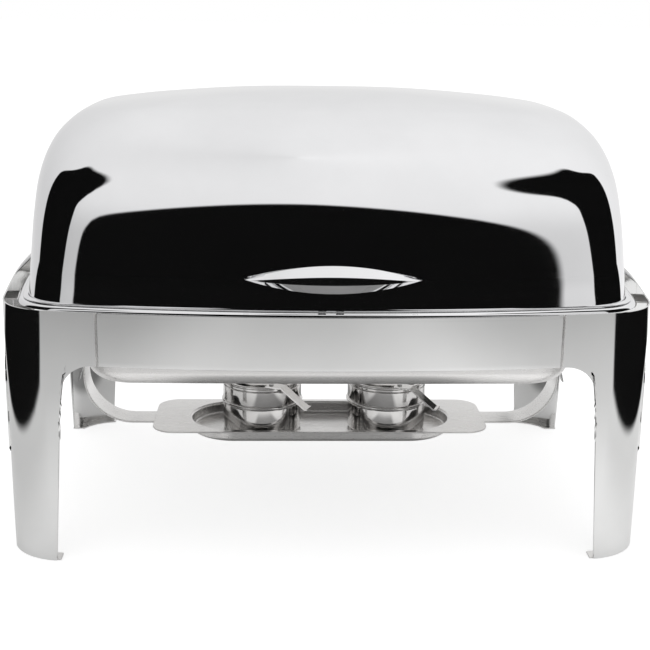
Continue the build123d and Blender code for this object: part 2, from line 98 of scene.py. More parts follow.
def circles_meet(centre_a, radius_a, centre_b, radius_b):
    """The upper right crossing of two circles."""
    apart = (centre_b - centre_a).length
    along = (radius_a ** 2 - radius_b ** 2 + apart ** 2) / (2 * apart)
    off = math.sqrt(radius_a ** 2 - along ** 2)
    direction = (centre_b - centre_a) / apart
    normal = Vector((-direction.y, direction.x))
    points = [centre_a + direction * along + normal * off, centre_a + direction * along - normal * off]
    return max(points, key=lambda point: point.x + point.y)


def arc(centre, radius, start, end, steps):
    """Points on an arc, without its last point."""
    return [
        centre + radius * Vector((math.cos(angle), math.sin(angle)))
        for angle in (start + (end - start) * i / steps for i in range(steps))
    ]


def quarter(plan, inset=0.0, side_steps=24, corner_steps=20, front_steps=30):
    """One quarter of a bowed outline, from the middle of the side to the middle of the front."""
    front, side, corner_x, corner_y, radius = (value - inset for value in plan)
    bow = front - corner_y
    front_r = (corner_x ** 2 + bow ** 2) / (2 * bow)
    front_c = Vector((0.0, front - front_r))
    bow = side - corner_x
    side_r = (corner_y ** 2 + bow ** 2) / (2 * bow)
    side_c = Vector((side - side_r, 0.0))
    centre = circles_meet(front_c, front_r - radius, side_c, side_r - radius)
    turn_a = math.atan2(*(centre - side_c).yx)
    turn_b = math.atan2(*(centre - front_c).yx)
    points = arc(side_c, side_r, 0.0, turn_a, side_steps)
    points += arc(centre, radius, turn_a, turn_b, corner_steps)
    points += arc(front_c, front_r, turn_b, math.pi / 2, front_steps)
    return points + [Vector((0.0, front))]


def lengths(points):
    """Running length at each point of a line."""
    total = [0.0]
    for a, b in zip(points, points[1:]):
        total.append(total[-1] + (b - a).length)
    return total


def at_length(points, total, want):
    """The point at a length along a line."""
    i = 1
    while i < len(points) - 1 and total[i] < want:
        i += 1
    share = (want - total[i - 1]) / max(total[i] - total[i - 1], 1e-9)
    return points[i - 1].lerp(points[i], share)


def even(points, count):
    """The same line in evenly spaced points."""
    total = lengths(points)
    return [at_length(points, total, total[-1] * i / (count - 1)) for i in range(count)]


def whole(part):
    """A whole closed outline from its quarter."""
    first = list(part)
    second = [Vector((-p.x, p.y)) for p in reversed(part[:-1])]
    third = [Vector((-p.x, -p.y)) for p in part[1:]]
    fourth = [Vector((p.x, -p.y)) for p in reversed(part[1:-1])]
    return first + second + third + fourth


def softened(points, passes):
    """A closed outline with its curvature spread along it."""
    count = len(points)
    for _ in range(passes):
        points = [
            0.25 * points[i - 1] + 0.5 * points[i] + 0.25 * points[(i + 1) % count]
            for i in range(count)
        ]
    return points


def ring(plan, height, inset=0.0):
    """A closed outline at one height."""
    return [(p.x, p.y, height) for p in whole(quarter(plan, inset))]


def rounded_box(half_x, half_y, radius, steps=10, straight=12):
    """Quarter of a rectangle with round corners, from the side's middle to the front's."""
    side = [Vector((half_x, (half_y - radius) * i / straight)) for i in range(straight)]
    corner = arc(Vector((half_x - radius, half_y - radius)), radius, 0.0, math.pi / 2, steps)
    front = [Vector(((half_x - radius) * (1 - i / straight), half_y)) for i in range(straight + 1)]
    return side + corner + front


def spline(values, at):
    """Smooth value through evenly spaced ones, where at runs from 0 to their count less one."""
    i = min(max(int(at), 0), len(values) - 2)
    t = at - i
    v1, v2 = values[i], values[i + 1]
    v0 = values[i - 1] if i > 0 else 2 * v1 - v2
    v3 = values[i + 2] if i + 2 < len(values) else 2 * v2 - v1
    linear = (v2 - v0) * t
    square = (2 * v0 - 5 * v1 + 4 * v2 - v3) * t * t
    cube = (3 * v1 - v0 - 3 * v2 + v3) * t ** 3
    return 0.5 * (2 * v1 + linear + square + cube)


# ---------------------------------------------------------------- meshes

def mesh_object(name, verts, faces):
    """A new object from points and faces, with its normals outward."""
    mesh = bpy.data.meshes.new(name)
    mesh.from_pydata([tuple(v) for v in verts], [], faces)
    made = bmesh.new()
    made.from_mesh(mesh)
    bmesh.ops.remove_doubles(made, verts=made.verts, dist=1e-7)
    bmesh.ops.recalc_face_normals(made, faces=made.faces)
    made.to_mesh(mesh)
    made.free()
    for face in mesh.polygons:
        face.use_smooth = True
    obj = bpy.data.objects.new(name, mesh)
    bpy.context.scene.collection.objects.link(obj)
    return obj


def skin(name, rings, ring_closed=True, profile_closed=False, start_cap=False, end_cap=False):
    """Quads between rings of points; a cap closes an end with a fan to its centre."""
    count = len(rings[0])
    verts = [point for one in rings for point in one]
    faces = []
    spans = len(rings) if profile_closed else len(rings) - 1
    turns = count if ring_closed else count - 1
    for r in range(spans):
        low = r * count
        high = ((r + 1) % len(rings)) * count
        for i in range(turns):
            j = (i + 1) % count
            faces.append((low + i, low + j, high + j, high + i))
    for wanted, first in ((start_cap, 0), (end_cap, (len(rings) - 1) * count)):
        if wanted:
            loop = [Vector(verts[first + i]) for i in range(count)]
            verts.append(sum(loop, Vector()) / count)
            faces += [(first + i, first + (i + 1) % count, len(verts) - 1) for i in range(count)]
    return mesh_object(name, verts, faces)


def revolve(name, profile, centre, steps=96):
    """A turned piece: a closed profile of radius and height round an upright axis."""
    rings = []
    for radius, height in profile:
        rings.append([
            (
                centre[0] + radius * math.cos(2 * math.pi * i / steps),
                centre[1] + radius * math.sin(2 * math.pi * i / steps),
                height,
            )
            for i in range(steps)
        ])
    return skin(name, rings, profile_closed=True)


def thicken(obj, thickness, offset, edge=0.0004, segments=2):
    """Gives a sheet its thickness and eases its edges, with its shading led by the broad faces."""
    solid = obj.modifiers.new("sheet", "SOLIDIFY")
    solid.thickness = thickness
    solid.offset = offset
    solid.use_quality_normals = True
    ease(obj, edge, segments, harden=False)
    weighted = obj.modifiers.new("broad_faces_lead", "WEIGHTED_NORMAL")
    weighted.weight = 100
    return obj


def ease(obj, edge, segments, harden=True):
    """Rounds an object's sharp edges."""
    bevel = obj.modifiers.new("eased_edges", "BEVEL")
    bevel.width = edge
    bevel.segments = segments
    bevel.limit_method = "ANGLE"
    bevel.angle_limit = math.radians(35)
    bevel.harden_normals = harden


def face_out(obj, away_from):
    """Turns every face of an open sheet to look away from a point."""
    mesh = obj.data
    votes = 0
    for face in mesh.polygons:
        votes += 1 if face.normal.dot(face.center - away_from) > 0 else -1
    if votes < 0:
        mesh.flip_normals()


# ---------------------------------------------------------------- materials

class Graph:
    """A small helper for node materials."""

    def __init__(self, name):
        self.material = bpy.data.materials.new(name)
        self.material.use_nodes = True
        self.tree = self.material.node_tree
        self.tree.nodes.clear()
        self.output = self.add("ShaderNodeOutputMaterial")
        self.shader = self.add("ShaderNodeBsdfPrincipled")
        self.link(self.shader, "BSDF", self.output, "Surface")

    def add(self, kind, **values):
        node = self.tree.nodes.new(kind)
        for key, value in values.items():
            if hasattr(node, key):
                setattr(node, key, value)
            else:
                node.inputs[key].default_value = value
        return node

    def link(self, a, out, b, into):
        self.tree.links.new(a.outputs[out], b.inputs[into])

    def put(self, value, socket):
        """Links a socket, or sets a number."""
        if isinstance(value, bpy.types.NodeSocket):
            self.tree.links.new(value, socket)
        else:
            socket.default_value = value

    def calc(self, operation, a, b=None):
        """One sum over sockets or numbers."""
        node = self.add("ShaderNodeMath", operation=operation)
        self.put(a, node.inputs[0])
        if b is not None:
            self.put(b, node.inputs[1])
        return node.outputs[0]

    def constant(self, value):
        """A number as a socket."""
        node = self.add("ShaderNodeValue")
        node.outputs[0].default_value = value
        return node.outputs[0]

    def split(self, vector):
        """The three parts of a vector."""
        node = self.add("ShaderNodeSeparateXYZ")
        self.tree.links.new(vector, node.inputs[0])
        return tuple(node.outputs)

    def fade(self, value, start, end, low, high):
        """A smooth step from low to high as a value runs from start to end."""
        node = self.add("ShaderNodeMapRange", interpolation_type="SMOOTHSTEP")
        self.put(value, node.inputs["Value"])
        for key, number in (("From Min", start), ("From Max", end), ("To Min", low), ("To Max", high)):
            node.inputs[key].default_value = number
        return node.outputs["Result"]

    def mix(self, share, a, b):
        """Runs from a to b as share goes from 0 to 1."""
        node = self.add("ShaderNodeMix")
        for value, socket in ((share, node.inputs[0]), (a, node.inputs[2]), (b, node.inputs[3])):
            self.put(value, socket)
        return node.outputs[0]

    def place(self, scale):
        """Object coordinates stretched by a scale in each direction."""
        coordinates = self.add("ShaderNodeTexCoord")
        mapping = self.add("ShaderNodeMapping")
        mapping.inputs["Scale"].default_value = scale
        self.link(coordinates, "Object", mapping, "Vector")
        return mapping

    def noise(self, scale, detail=4.0, roughness=0.55):
        """Noise over stretched object coordinates."""
        node = self.add("ShaderNodeTexNoise")
        node.inputs["Scale"].default_value = 1.0
        node.inputs["Detail"].default_value = detail
        node.inputs["Roughness"].default_value = roughness
        self.link(self.place(scale), "Vector", node, "Vector")
        return node

    def ramp(self, source, low, high, start=0.3, end=0.7):
        """Maps a noise to a range of values or colours."""
        node = self.add("ShaderNodeValToRGB")
        node.color_ramp.elements[0].position = start
        node.color_ramp.elements[1].position = end
        node.color_ramp.elements[0].color = (*low, 1.0)
        node.color_ramp.elements[1].color = (*high, 1.0)
        self.link(source, "Fac", node, "Fac")
        return node

    def spread(self, source, low, high):
        """Maps a noise to a range of numbers."""
        node = self.add("ShaderNodeMapRange")
        node.inputs["From Min"].default_value = 0.3
        node.inputs["From Max"].default_value = 0.7
        node.inputs["To Min"].default_value = low
        node.inputs["To Max"].default_value = high
        self.link(source, "Fac", node, "Value")
        return node

    def bump(self, source, strength, distance, under=None):
        """Bump from a noise, over another bump where one is given."""
        node = self.add("ShaderNodeBump")
        node.inputs["Strength"].default_value = strength
        node.inputs["Distance"].default_value = distance
        self.link(source, "Fac", node, "Height")
        if under:
            self.link(under, "Normal", node, "Normal")
        return node


def steel(name, dark, light, rough, grain, grain_depth, wave_depth, smudge=9.0, turn=0.0):
    """Steel: colour and gloss vary with handling marks, with a fine grain and a slow sheet wave."""
    g = Graph(name)
    g.shader.inputs["Metallic"].default_value = 1.0
    g.shader.inputs["Anisotropic"].default_value = turn
    marks = g.noise((smudge, smudge, smudge), detail=5.0)
    g.link(g.ramp(marks, dark, light), "Color", g.shader, "Base Color")
    lines = g.noise(grain, detail=3.0, roughness=0.7)
    g.link(g.spread(lines, *rough), "Result", g.shader, "Roughness")
    wave = g.bump(g.noise((5.0, 5.0, 7.0), detail=1.0), 1.0, wave_depth)
    fine = g.bump(lines, 1.0, grain_depth, under=wave)
    g.link(fine, "Normal", g.shader, "Normal")
    return g.material


def make_materials():
    """One procedural material for each of the record's slots."""
    return {
        "mirror_steel": steel(
            "mirror_polished_steel", (0.82, 0.82, 0.83), (0.87, 0.87, 0.88), (0.022, 0.040),
            (14.0, 14.0, 240.0), 0.0000010, 0.00025,
        ),
        "polished_steel": steel(
            "polished_sheet_steel", (0.75, 0.75, 0.745), (0.81, 0.81, 0.805), (0.040, 0.065),
            (10.0, 10.0, 420.0), 0.0000016, 0.00016,
        ),
        "satin_steel": steel(
            "satin_sheet_steel", (0.76, 0.75, 0.74), (0.81, 0.80, 0.79), (0.26, 0.31),
            (40.0, 900.0, 900.0), 0.0000012, 0.00004, turn=0.3,
        ),
        "burner_steel": steel(
            "spun_burner_steel", (0.60, 0.59, 0.58), (0.72, 0.71, 0.70), (0.05, 0.12),
            (25.0, 25.0, 900.0), 0.0000030, 0.00010, smudge=30.0,
        ),
        "fastener_steel": steel(
            "machined_fastener_steel", (0.42, 0.42, 0.42), (0.60, 0.60, 0.60), (0.16, 0.30),
            (300.0, 300.0, 300.0), 0.0000060, 0.00004, smudge=60.0,
        ),
        "fuel_tin": steel(
            "plain_fuel_tin", (0.48, 0.48, 0.46), (0.66, 0.66, 0.63), (0.24, 0.40),
            (60.0, 60.0, 500.0), 0.0000050, 0.00006, smudge=25.0,
        ),
    }


materials = make_materials()
slot_of = {row["node"]: row["material_slot"] for row in frame["record"]["subparts"]}
body_of_node = {
    node: body for body, nodes in frame["record"]["behaviour"]["bodies"].items() for node in nodes
}


def stand_for(obj, *nodes):
    """Lets a piece take the place, the body and the finish of CAD nodes."""
    slot = slot_of[nodes[0]]
    obj.data.materials.clear()
    obj.data.materials.append(materials[slot])
    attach(obj, body_of_node[nodes[0]])
    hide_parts(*nodes)


def dress_cad_node(node):
    """A CAD node that stays takes its slot's finish."""
    obj = frame["nodes"][node]
    obj.data.materials.clear()
    obj.data.materials.append(materials[slot_of[node]])


# ---------------------------------------------------------------- camera

EYE = Vector((-0.0517, -1.3653, 0.5476))
EYE_TURN = 0.0398
EYE_TILT = -0.2554
EYE_ROLL = 0.0141
SENSOR = 36.0
LENS = 67.39


def make_camera():
    """The camera at the product view, level with the lid and a little above."""
    data = bpy.data.cameras.new("product_camera")
    data.lens = LENS
    data.sensor_width = SENSOR
    data.clip_start = 0.05
    data.clip_end = 50.0
    camera = bpy.data.objects.new("product_camera", data)
    bpy.context.scene.collection.objects.link(camera)
    ahead = Vector((
        math.sin(EYE_TURN) * math.cos(EYE_TILT),
        math.cos(EYE_TURN) * math.cos(EYE_TILT),
        math.sin(EYE_TILT),
    ))
    camera.location = EYE
    camera.rotation_mode = "QUATERNION"
    camera.rotation_quaternion = ahead.to_track_quat("-Z", "Y") @ Quaternion((0.0, 0.0, 1.0), EYE_ROLL)
    bpy.context.scene.camera = camera


# ---------------------------------------------------------------- lid

LID_RINGS = 96
CROWN_RINGS = 10
LID_QUARTER = 78
LID_SOFTEN = 8


def lid_ring(at):
    """The lid's outline at a section number, which may lie between two sections."""
    z, side, front, side_bow, front_bow, radius = (
        spline([section[k] for section in LID_SECTIONS], at) for k in range(6)
    )
    part = quarter((front, side, side - side_bow, front - front_bow, radius))
    outline = softened(whole(even(part, LID_QUARTER)), LID_SOFTEN)
    return [(p.x, p.y, z) for p in outline]


def make_lid():
    """The one-piece dome, with even rings up to a gently rounded crown."""
    last = len(LID_SECTIONS) - 1
    rings = [lid_ring(last * i / (LID_RINGS - 1)) for i in range(LID_RINGS)]
    top = rings[-1]
    base = top[0][2]
    for i in range(1, CROWN_RINGS):
        share = 1 - i / CROWN_RINGS
        height = base + (LID_CROWN - base) * (1 - share ** 2)
        rings.append([(x * share, y * share, height) for x, y, _ in top])
    dome = skin("lid_dome", rings, end_cap=True)
    face_out(dome, Vector((0, 0, 0.2)))
    thicken(dome, LID_SHEET, -1.0, edge=0.0003)
    stand_for(dome, "lid_shell")


def make_rim():
    """The water pan's edge, turned out and sloped down to a soft lip."""
    low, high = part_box("pan_rim")
    width = 0.0140
    slope = 0.0036
    soft = 0.0005
    section = (
        (soft, low.z), (0.0001, low.z + 0.0001), (0.0, low.z + soft),
        (slope - soft, high.z - 0.3 * soft), (slope, high.z - 0.1 * soft), (slope + soft, high.z),
        (width - soft, high.z), (width, high.z - soft), (width, low.z + soft), (width - soft, low.z),
    )
    rings = [ring(RIM_PLAN, z, inset) for inset, z in section]
    stand_for(skin("pan_rim_bead", rings, profile_closed=True), "pan_rim")


def make_lid_edge():
    """The lid's turned-out edge, with a slope up into its wall."""
    low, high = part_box("lid_flange")
    half = (high.z - low.z) / 2
    rise = 0.0008
    hidden = 0.0006
    rings = []
    for i in range(9):
        angle = math.radians(180 * i / 8 - 90)
        height = low.z + half + half * math.sin(angle)
        rings.append(ring(LID_FLANGE_PLAN, height, half * (1 - math.cos(angle))))
    outer = ring(LID_FLANGE_PLAN, high.z, half + 0.0004)
    wall = ring(LID_FOOT_PLAN, high.z, hidden)
    for i in range(13):
        share = i / 12
        level = [Vector(a).lerp(Vector(b), share) for a, b in zip(outer, wall)]
        rings.append([(x, y, high.z + rise * share ** 1.15) for x, y, _ in level])
    rings.append([(x, y, low.z) for x, y, _ in wall])
    stand_for(skin("lid_edge_lip", rings, profile_closed=True), "lid_flange")


# ---------------------------------------------------------------- pans

def make_water_pan():
    """The water pan: flange, wall, round bottom bend and a slightly crowned floor."""
    low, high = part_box("water_pan")
    bend = 0.014
    turn = 0.004

    def plan_at(height):
        share = (height - low.z) / (high.z - low.z)
        return tuple(foot + (top - foot) * share for foot, top in zip(PAN_FOOT_PLAN, PAN_PLAN))

    rings = [ring(RIM_PLAN, high.z, 0.006), ring(RIM_PLAN, high.z, 0.012)]
    for i in range(6):
        angle = math.radians(90 * i / 5)
        height = high.z - turn + turn * math.cos(angle)
        rings.append(ring(plan_at(height), height, -turn + turn * math.sin(angle)))
    for i in range(1, 8):
        height = high.z - turn + (low.z + bend - high.z + turn) * i / 8
        rings.append(ring(plan_at(height), height))
    for i in range(11):
        angle = math.radians(90 * i / 10)
        height = low.z + bend * (1 - math.sin(angle))
        rings.append(ring(plan_at(height), height, bend * (1 - math.cos(angle))))
    edge = rings[-1]
    for i in range(1, 12):
        share = 1 - i / 12
        rings.append([(x * share, y * share, low.z + 0.0006 * (1 - share)) for x, y, _ in edge])
    pan = skin("water_pan_shell", rings, end_cap=True)
    face_out(pan, Vector((0, 0, high.z + 0.3)))
    thicken(pan, PAN_SHEET, -1.0)
    stand_for(pan, "water_pan")


# ---------------------------------------------------------------- frame

def crest_height(y):
    """Height of the frame's top edge at a distance from the middle of a side."""
    rise = CREST - SKIRT_HIGH
    share = min(abs(y) / CREST_START_Y, 1.0)
    return SKIRT_HIGH + rise * 0.5 * (1 + math.cos(math.pi * share ** 1.6))


def along_outline(points, axis, value):
    """Length along a quarter outline where one coordinate reaches a value."""
    total = lengths(points)
    for i in range(1, len(points)):
        a, b = points[i - 1][axis], points[i][axis]
        if min(a, b) <= value <= max(a, b):
            return total[i - 1] + (total[i] - total[i - 1]) * (value - a) / (b - a)
    raise ValueError("the outline never reaches that value")


def arch_edge(foot, knee, seam, steps=14):
    """A leg's inner edge from its foot up to the seam, as pairs of distance and height."""
    slope = math.atan2(SKIRT_LOW, foot - knee)
    tangent = ARCH_RADIUS * math.tan(slope / 2)
    start = Vector((knee, SKIRT_LOW)) + Vector((math.cos(slope), -math.sin(slope))) * tangent
    end = Vector((knee - tangent, SKIRT_LOW))
    centre = Vector((end.x, end.y - ARCH_RADIUS))
    first = math.atan2(*(start - centre).yx)
    points = [Vector((foot, 0.0)).lerp(start, i / 18) for i in range(18)]
    for i in range(steps + 1):
        angle = first + (math.pi / 2 - first) * i / steps
        points.append(centre + ARCH_RADIUS * Vector((math.cos(angle), math.sin(angle))))
    points += [end.lerp(Vector((seam, SKIRT_LOW)), i / 4) for i in range(1, 5)]
    return points


def make_leg(name, node, sx, sy):
    """A corner leg: one sheet round the corner, cut to an arch on both faces."""
    outline = quarter(FRAME_PLAN, 0.0, 60, 60, 60)
    total = lengths(outline)

    def place(length, height):
        point = at_length(outline, total, length)
        return (sx * point.x, sy * point.y, height)

    side_arch = arch_edge(LEG_FOOT_Y, LEG_KNEE_Y, SEAM_Y + SIDE_SEAM_GAP)
    side_edge = [Vector((along_outline(outline, 1, y), z)) for y, z in reversed(side_arch)]
    front_edge = [
        Vector((along_outline(outline, 0, x), z)) for x, z in arch_edge(LEG_FOOT_X, LEG_KNEE_X, SEAM_X)
    ]
    low_line = even(side_edge + front_edge, 170)
    first, last = low_line[0].x, low_line[-1].x
    rows = 36
    rings = []
    for i, low in enumerate(low_line):
        reach = first + (last - first) * i / (len(low_line) - 1)
        high = crest_height(at_length(outline, total, reach).y)
        top = Vector((reach, high))
        rings.append([place(*low.lerp(top, j / rows)) for j in range(rows + 1)])
    leg = skin(name, rings, ring_closed=False)
    face_out(leg, Vector((sx * 0.22, sy * 0.12, 0.12)))
    thicken(leg, FRAME_SHEET, -1.0, edge=0.0005)
    stand_for(leg, node)


def make_band(name, node, axis, reach, sx, sy, top):
    """A sheet along one face of the frame, between the legs."""
    outline = quarter(FRAME_PLAN, 0.0, 60, 60, 60)
    total = lengths(outline)
    limit = along_outline(outline, axis, reach)
    middle = total[-1] if axis == 0 else 0.0
    half = [at_length(outline, total, middle + (limit - middle) * i / 40) for i in range(41)]
    if axis == 0:
        points = [(-p.x, sy * p.y) for p in reversed(half)] + [(p.x, sy * p.y) for p in half[1:]]
    else:
        points = [(sx * p.x, -p.y) for p in reversed(half)] + [(sx * p.x, p.y) for p in half[1:]]
    rings = []
    for j in range(13):
        share = j / 12
        rings.append([(x, y, SKIRT_LOW + (top(y) - SKIRT_LOW) * share) for x, y in points])
    band = skin(name, rings, ring_closed=False)
    face_out(band, Vector((sx * 0.1, sy * 0.1, 0.23)))
    thicken(band, FRAME_SHEET, -1.0)
    stand_for(band, node)


# ---------------------------------------------------------------- handle

def make_handle():
    """The boat-shaped handle: a ridge face between two long facets."""
    low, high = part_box("lid_handle")
    middle = (low.z + high.z) / 2
    half_height = (high.z - low.z) / 2
    half_length = (high.x - low.x) / 2
    back, front = high.y, low.y
    plate = 0.0020
    rings = []
    steps = 64
    for i in range(steps + 1):
        x = half_length * math.sin(math.pi / 2 * (2 * i / steps - 1))
        outer = half_height * max(1 - (x / half_length) ** 2, 0.0)
        ridge = 0.0040 * max(1 - (x / (half_length * 0.93)) ** 2, 0.0)
        depth = (back - plate - front) * max(1 - (x / half_length) ** 6, 0.0)
        face = back - plate - depth
        inner = max(outer - 0.0012, 0.0)
        section = (
            (back, -inner), (back, inner), (back - 0.0006, outer), (back - plate, outer),
            (face, ridge), (face, 0.0), (face, -ridge),
            (back - plate, -outer), (back - 0.0006, -outer),
        )
        rings.append([(x, y, middle + z) for y, z in section])
    handle = skin("lid_handle_bar", rings, start_cap=True, end_cap=True)
    ease(handle, 0.0005, 3)
    stand_for(handle, "lid_handle")


# ---------------------------------------------------------------- burners and tray

def strip(name, path, half_width, thickness, columns=6):
    """A flat strip bent along a path of x and z, with a real thickness."""
    rings = []
    for x, z in path:
        rings.append([(x, half_width * (2 * j / columns - 1), z) for j in range(columns + 1)])
    made = skin(name, rings, ring_closed=False)
    return thicken(made, thickness, 0.0, edge=0.0005)


def make_arms():
    """The two arms that carry the burner tray."""
    bend = 0.055
    for side, sx in SIDES:
        low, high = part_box("burner_arm_" + side)
        outer = max(abs(low.x), abs(high.x)) - 0.001
        inner = min(abs(low.x), abs(high.x))
        level = low.z + 0.001
        path = [(sx * outer, high.z + (level + bend - high.z) * i / 12) for i in range(12)]
        for i in range(17):
            angle = math.radians(90 * i / 16)
            path.append((sx * (outer - bend + bend * math.cos(angle)), level + bend - bend * math.sin(angle)))
        path += [(sx * (outer - bend + (inner - outer + bend) * i / 8), level) for i in range(1, 9)]
        arm = strip("burner_arm_strip_" + side, path, high.y, 0.002)
        stand_for(arm, "burner_arm_" + side)


def make_tray():
    """The pressed tray: flat plate, rolled-in recess edge, wall and floor."""
    low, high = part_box("burner_tray")
    half_x, half_y = (high.x - low.x) / 2, (high.y - low.y) / 2
    middle = (low.x + high.x) / 2
    shift = -0.0016
    slot_x, slot_y = 0.150, 0.0505
    fold = 0.003
    corner = 0.025
    sheet = 0.0015
    nearly = 0.0001

    def box_ring(reach_x, reach_y, radius, height, move):
        part = even(rounded_box(reach_x, reach_y, radius, 24), 64)
        return [(p.x + move, p.y, height) for p in whole(part)]

    rings = [box_ring(half_x, half_y, corner, high.z, middle)]
    mouth = box_ring(slot_x + fold, slot_y + fold, slot_y + fold - nearly, high.z, shift)
    for share in (0.33, 0.66):
        rings.append([tuple(Vector(a).lerp(Vector(b), share)) for a, b in zip(rings[0], mouth)])
    for i in range(7):
        angle = math.radians(90 * i / 6)
        out = fold * (1 - math.sin(angle))
        drop = fold * (1 - math.cos(angle))
        rings.append(box_ring(slot_x + out, slot_y + out, slot_y + out - nearly, high.z - drop, shift))
    floor = low.z + sheet
    rings.append(box_ring(slot_x, slot_y, slot_y - nearly, floor + fold, shift))
    for i in range(1, 7):
        angle = math.radians(90 * i / 6)
        inset = fold * (1 - math.cos(angle))
        height = floor + fold * (1 - math.sin(angle))
        rings.append(box_ring(slot_x - inset, slot_y - inset, slot_y - inset - nearly, height, shift))
    edge = rings[-1]
    for i in range(1, 8):
        share = 1 - i / 8
        rings.append([((x - shift) * share + shift, y * share, floor) for x, y, _ in edge])
    tray = skin("burner_tray_pressing", rings, end_cap=True)
    if sum(face.normal.z * face.area for face in tray.data.polygons) < 0:
        tray.data.flip_normals()
    thicken(tray, sheet, -1.0)
    stand_for(tray, "burner_tray")


def make_cup(side):
    """A burner's spun cup: rolled foot, straight wall, bead and a rolled collar."""
    low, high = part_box("burner_cup_" + side)
    centre = ((low.x + high.x) / 2, 0.0)
    radius = (high.x - low.x) / 2
    sheet = 0.0012
    bend = 0.005
    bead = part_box("burner_bead_" + side)
    bead_z = (bead[0].z + bead[1].z) / 2
    bead_r = (bead[1].z - bead[0].z) / 2
    outside = [(0.004, low.z), (radius - bend - 0.012, low.z)]
    for i in range(9):
        angle = math.radians(90 * i / 8)
        outside.append((radius - bend + bend * math.sin(angle), low.z + bend * (1 - math.cos(angle))))
    outside.append((radius, bead_z - 1.6 * bead_r))
    for i in range(9):
        angle = math.radians(-90 + 180 * i / 8)
        outside.append((radius - 0.0002 + bead_r * math.cos(angle), bead_z + bead_r * math.sin(angle)))
    outside.append((radius, bead_z + 1.6 * bead_r))
    outside.append((radius, high.z - 0.0042))
    outside.append((radius - 0.0008, high.z - 0.0034))
    outside.append((radius, high.z - 0.0026))
    outside.append((radius, high.z - 0.0004))
    outside.append((radius - 0.0004, high.z))
    inside = [(radius - sheet, high.z), (radius - sheet, low.z + bend)]
    inside += [(radius - sheet - bend * 0.6, low.z + sheet + 0.0008), (radius - bend - 0.004, low.z + sheet)]
    inside.append((0.004, low.z + sheet))
    cup = revolve("burner_cup_spun_" + side, outside + inside, centre, 128)
    ease(cup, 0.00025, 2)
    stand_for(cup, "burner_cup_" + side, "burner_bead_" + side)


# ---------------------------------------------------------------- stage

FLOOR_REACH = 40.0
FLOOR_DROP = 0.0005
TABLE_SIDE = 0.70
TABLE_FLARE = 0.55
TABLE_FRONT = 1.45
TABLE_REAR = 0.60
STUDIO_NEAR = 1.65
BODY_X = 0.24
BODY_Y = 0.22
# Painted shadow: the floor's brightness under the object in reflections.
PAINTED_SHADE_UNDER_BODY = 0.34
DARK = 0.004


FRONT_TURN = 1.5
FRONT_HALF_WIDTH = 30.0
FRONT_FOOT = 8.0
FRONT_HEIGHT = 46.5
FLANK_TURN_LOW = 75.5
FLANK_TURN_HIGH = 59.0
FLANK_HALF_WIDTH = 30.0
FLANK_HEIGHT = 66.0
CEILING = 0.94


def studio_brightness(g, azimuth, elevation):
    """Brightness of the studio by direction, in degrees: azimuth 0 is in front, and positive is to the right.

    A dark screen stands in front and one on each side, between light cards, under a broad white ceiling.
    """
    turn = g.calc("ABSOLUTE", azimuth)
    rise = g.calc("MAXIMUM", elevation, 0.0)
    across = g.calc("DIVIDE", g.calc("ABSOLUTE", g.calc("ADD", azimuth, FRONT_TURN)), FRONT_HALF_WIDTH)
    above = g.calc("MAXIMUM", g.calc("SUBTRACT", elevation, FRONT_FOOT), 0.0)
    front_side = g.calc("POWER", across, 2.0)
    front_top = g.calc("POWER", g.calc("DIVIDE", above, FRONT_HEIGHT), 2.4)
    front = g.fade(g.calc("ADD", front_side, front_top), 0.96, 1.05, 1.0, 0.0)
    flank_turn = g.fade(rise, 38.0, 62.0, FLANK_TURN_LOW, FLANK_TURN_HIGH)
    off = g.calc("ABSOLUTE", g.calc("SUBTRACT", turn, flank_turn))
    flank_side = g.calc("POWER", g.calc("DIVIDE", off, FLANK_HALF_WIDTH), 4.0)
    flank_top = g.calc("POWER", g.calc("DIVIDE", rise, FLANK_HEIGHT), 4.0)
    flank = g.fade(g.calc("ADD", flank_side, flank_top), 0.94, 1.10, 1.0, 0.0)
    dark = g.calc("MAXIMUM", front, flank)
    to_right = g.calc("SINE", g.calc("MULTIPLY", azimuth, math.pi / 180.0))
    low = g.fade(rise, 10.0, 70.0, 1.0, 0.0)
    card = g.calc("MULTIPLY", g.fade(turn, 48.0, 56.0, 1.0, 0.0), g.fade(rise, 22.0, 50.0, 0.16, 0.0))
    right_gain = g.calc("MULTIPLY", to_right, g.calc("ADD", 0.07, g.calc("MULTIPLY", low, 0.05)))
    light = g.calc("ADD", CEILING, right_gain)
    light = g.calc("SUBTRACT", light, g.calc("ADD", g.calc("MULTIPLY", low, 0.12), card))
    return g.calc("MAXIMUM", g.calc("MULTIPLY", light, g.calc("SUBTRACT", 1.0, dark)), DARK)


def degrees(g, value):
    """Radians to degrees."""
    return g.calc("MULTIPLY", value, 180.0 / math.pi)


